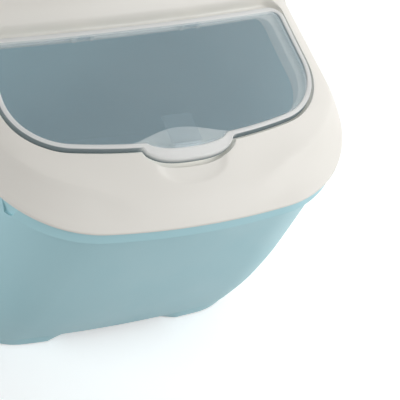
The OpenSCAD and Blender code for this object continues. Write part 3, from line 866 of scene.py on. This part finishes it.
def paint_lid(obj, shell_count):
    """Marks the lid's thicker rim, whose white is partly a painted highlight, and the painted
    shade on the outer side of the rim. The knuckles come after the shell's vertices."""
    co = np.empty(len(obj.data.vertices) * 3, np.float32)
    obj.data.vertices.foreach_get("co", co)
    co = co.reshape(-1, 3) * 1000
    # The rim's white band, partly a painted highlight
    thick_and_highlit = clamp(beyond(co, lid_ring(RIM_W + 0.9, BAND_LEN)) / 0.8)
    crest = mix(RIM_CREST, 0, ease((co[:, 1] - LID_BACK + 20) / 12))
    below = lid_z(co[:, 0], co[:, 1]) + crest - co[:, 2]
    # Painted shade on the rim's outer side below its crest, which starts lower down at the tab
    side = clamp(beyond(co, lid_ring(1.3)) / 0.5) * clamp((below - 0.15) / 0.5)
    at_tab = ease((TAB_HALF + 4 - np.abs(co[:, 0])) / 5) * (co[:, 1] < LID_Y + 10)
    side *= mix(1, clamp((below - 4.2) / 0.5), at_tab)
    thick_and_highlit[shell_count:] = 0.6
    side[shell_count:] = 0
    for name, value in (("thick_and_highlit", thick_and_highlit), ("edge", side)):
        attribute = obj.data.attributes.new(name, "FLOAT", "POINT")
        attribute.data.foreach_set("value", value.astype(np.float32))


paint_lid(lid, len(lid_shell[0]))
pad_mark = tongue.data.attributes.new("pad", "FLOAT", "POINT")
pad_mark.data.foreach_set("value", np.ones(len(tongue.data.vertices), np.float32))

# The hook from the side, from the lid's front edge and the underside of its panel
HOOK_PROFILE = [(-HOOK_FRONT, -1.3), (-HOOK_FRONT, -2.6), (-1.8, -6.2), (0.2, -6.6), (1.4, -5),
                (1.4, -2.6), (RIM_W - 0.1, -2.4), (RIM_W - 0.1, -0.5)]
hook_z = LID_TOP - LID_DIP - LID_T
hook = make_object("latch_hook_white", *prism(
    [(LID_Y + y, hook_z + z) for y, z in HOOK_PROFILE], -HOOK_W / 2, HOOK_W / 2, 0.35, 3))
finish_piece(hook, HOOK_PLASTIC, "lid", "hook_plastic", "latch_hook")

for side, name in ((-1, "left"), (1, "right")):
    r, half = PIN_D / 2, EAR_OFFSET + EAR_T / 2
    pin = make_object("hinge_pin_steel_" + name, *lathe(
        [(0.3, -half), (r - 0.35, -half), (r - 0.1, -half + 0.1), (r, -half + 0.35),
         (r, half - 0.35), (r - 0.1, half - 0.1), (r - 0.35, half), (0.3, half)],
        32, "x", (side * HINGE_X, AXIS_Y, AXIS_Z)))
    finish_piece(pin, PIN_STEEL, "cover", "pin_steel", "hinge_pin_" + name)

foot_in = SKIRT_IN + float(bow_in(BASE_BOW, FOOT_X + FOOT_D / 2)) + FOOT_D / 2 + FIT
for end, y in (("front", BASE_Y + foot_in), ("rear", BASE_Y + BASE_D - foot_in)):
    for side, name in ((-1, "left"), (1, "right")):
        r0, r1 = (FOOT_D - 1.6) / 2, FOOT_D / 2
        pad = make_object(f"rubber_foot_{end}_{name}", *lathe(
            [(0.4, 1.2), (FOOT_D / 2 - 5.6, 1.2), (FOOT_D / 2 - 5.1, 1.0), (FOOT_D / 2 - 5, 0.4),
             (FOOT_D / 2 - 4.6, 0.0), (r0 - 0.9, 0.0), (r0 - 0.25, 0.25), (r0, 0.9),
             (mix(r0, r1, 0.5), BASE_Z * 0.5), (r1 - 0.05, BASE_Z - 0.5), (r1 - 0.4, BASE_Z),
             (0.4, BASE_Z)], 56, "z", (side * FOOT_X, y, 0)))
        finish_piece(pad, FOOT_RUBBER, "bin", "foot_rubber", f"foot_{end}_{name}")


# ---------------------------------------------------------------- floor, light and camera
# From here on sizes are in metres. The floor's own glow towards the camera, and the grey that it
# bounces onto the sides of the bin
FLOOR_RADIUS, FLOOR_GLOW, FLOOR_BOUNCE = 4.0, 0.24, "a8a8a8"


def make_floor():
    """A round white floor that keeps the bin's shadow."""
    bm = bmesh.new()
    bmesh.ops.create_circle(bm, cap_ends=True, segments=96, radius=FLOOR_RADIUS)
    mesh = bpy.data.meshes.new("floor")
    bm.to_mesh(mesh)
    bm.free()
    obj = bpy.data.objects.new("floor", mesh)
    bpy.context.scene.collection.objects.link(obj)
    m = Nodes("floor_white")
    m.link(m.blend(m.span(m.noise(3, 2.0), 0.3, 0.7, 0.0, 0.3), srgb("fbfbfb"), srgb("f7f7f7")),
           m.bsdf.inputs["Base Color"])
    m.bsdf.inputs["Roughness"].default_value = 0.9
    m.bsdf.inputs["Specular IOR Level"].default_value = 0.0
    m.bsdf.inputs["Emission Color"].default_value = (1, 1, 1, 1)
    m.bsdf.inputs["Emission Strength"].default_value = FLOOR_GLOW
    bounce = m.add("ShaderNodeBsdfDiffuse")
    bounce.inputs["Color"].default_value = srgb(FLOOR_BOUNCE)
    path = m.add("ShaderNodeLightPath")
    seen = m.math("MAXIMUM", path.outputs["Is Camera Ray"],
                  m.math("MAXIMUM", path.outputs["Is Glossy Ray"],
                         path.outputs["Is Transmission Ray"]))
    either = m.add("ShaderNodeMixShader")
    m.link(seen, either.inputs["Fac"])
    m.link(bounce.outputs[0], either.inputs[1])
    m.link(m.bsdf.outputs[0], either.inputs[2])
    m.link(either.outputs[0], m.out.inputs["Surface"])
    obj.data.materials.append(m.mat)


def make_world():
    """A faint even fill, seen as white by the camera and through or in shiny surfaces."""
    world = bpy.data.worlds.new("studio")
    bpy.context.scene.world = world
    world.use_nodes = True
    tree = world.node_tree
    fill = tree.nodes["Background"]
    fill.inputs["Color"].default_value = srgb("f4f6f8")
    fill.inputs["Strength"].default_value = 0.05
    backdrop = tree.nodes.new("ShaderNodeBackground")
    backdrop.inputs["Color"].default_value = (1, 1, 1, 1)
    path = tree.nodes.new("ShaderNodeLightPath")
    seen = path.outputs["Is Camera Ray"]
    for ray in ("Is Glossy Ray", "Is Transmission Ray"):
        either = tree.nodes.new("ShaderNodeMath")
        either.operation = "MAXIMUM"
        tree.links.new(seen, either.inputs[0])
        tree.links.new(path.outputs[ray], either.inputs[1])
        seen = either.outputs[0]
    choose = tree.nodes.new("ShaderNodeMixShader")
    tree.links.new(seen, choose.inputs["Fac"])
    tree.links.new(fill.outputs[0], choose.inputs[1])
    tree.links.new(backdrop.outputs[0], choose.inputs[2])
    tree.links.new(choose.outputs[0], tree.nodes["World Output"].inputs["Surface"])


# Soft boxes of that side, aimed at the middle of the bin: name, place and watts
LIGHT_SIDE, LIGHT_AIM = 1.3, Vector((0, 0, 0.15))
LIGHTS = [("key_front_right", (1.274, -1.274, 1.412), 27), ("right", (1.802, 0, 1.412), 14),
          ("rear_right", (1.274, 1.274, 1.412), 8), ("rear", (0, 1.802, 1.412), 8),
          ("front", (0, -1.802, 1.412), 6), ("low_left", (-2.152, 0, 0.607), 24)]


def soft_box(name, place, power):
    data = bpy.data.lights.new(name, "AREA")
    data.shape = "RECTANGLE"
    data.size = data.size_y = LIGHT_SIDE
    data.energy = power
    obj = bpy.data.objects.new(name, data)
    obj.location = place
    obj.rotation_euler = (LIGHT_AIM - Vector(place)).to_track_quat("-Z", "Y").to_euler()
    bpy.context.scene.collection.objects.link(obj)


# The camera, fitted to the photo's outlines: angles in radians, and a focal length in pixels of
# a 400-pixel frame
YAW, PITCH, ROLL = 0.75433, 0.85105, 0.45676
CAMERA_PLACE = (-0.78485, -0.96041, 1.54326)
FOCAL_PIXELS, FRAME_PIXELS, SENSOR_MM = 2153.11, 400, 36.0


def make_camera():
    data = bpy.data.cameras.new("camera")
    data.sensor_width = SENSOR_MM
    data.lens = FOCAL_PIXELS * SENSOR_MM / FRAME_PIXELS
    data.clip_end = 50
    look = Vector((math.sin(YAW) * math.cos(PITCH), math.cos(YAW) * math.cos(PITCH),
                   -math.sin(PITCH)))
    level = Vector((math.cos(YAW), -math.sin(YAW), 0))
    above = level.cross(look)
    right = level * math.cos(ROLL) + above * math.sin(ROLL)
    up = above * math.cos(ROLL) - level * math.sin(ROLL)
    turn = Matrix((right, up, -look)).transposed().to_4x4()
    camera = bpy.data.objects.new("camera", data)
    camera.matrix_world = Matrix.Translation(CAMERA_PLACE) @ turn
    bpy.context.scene.collection.objects.link(camera)
    bpy.context.scene.camera = camera


make_floor()
make_world()
for light in LIGHTS:
    soft_box(*light)
make_camera()
bpy.context.scene.view_settings.view_transform = "Standard"

bpy.context.view_layer.update()
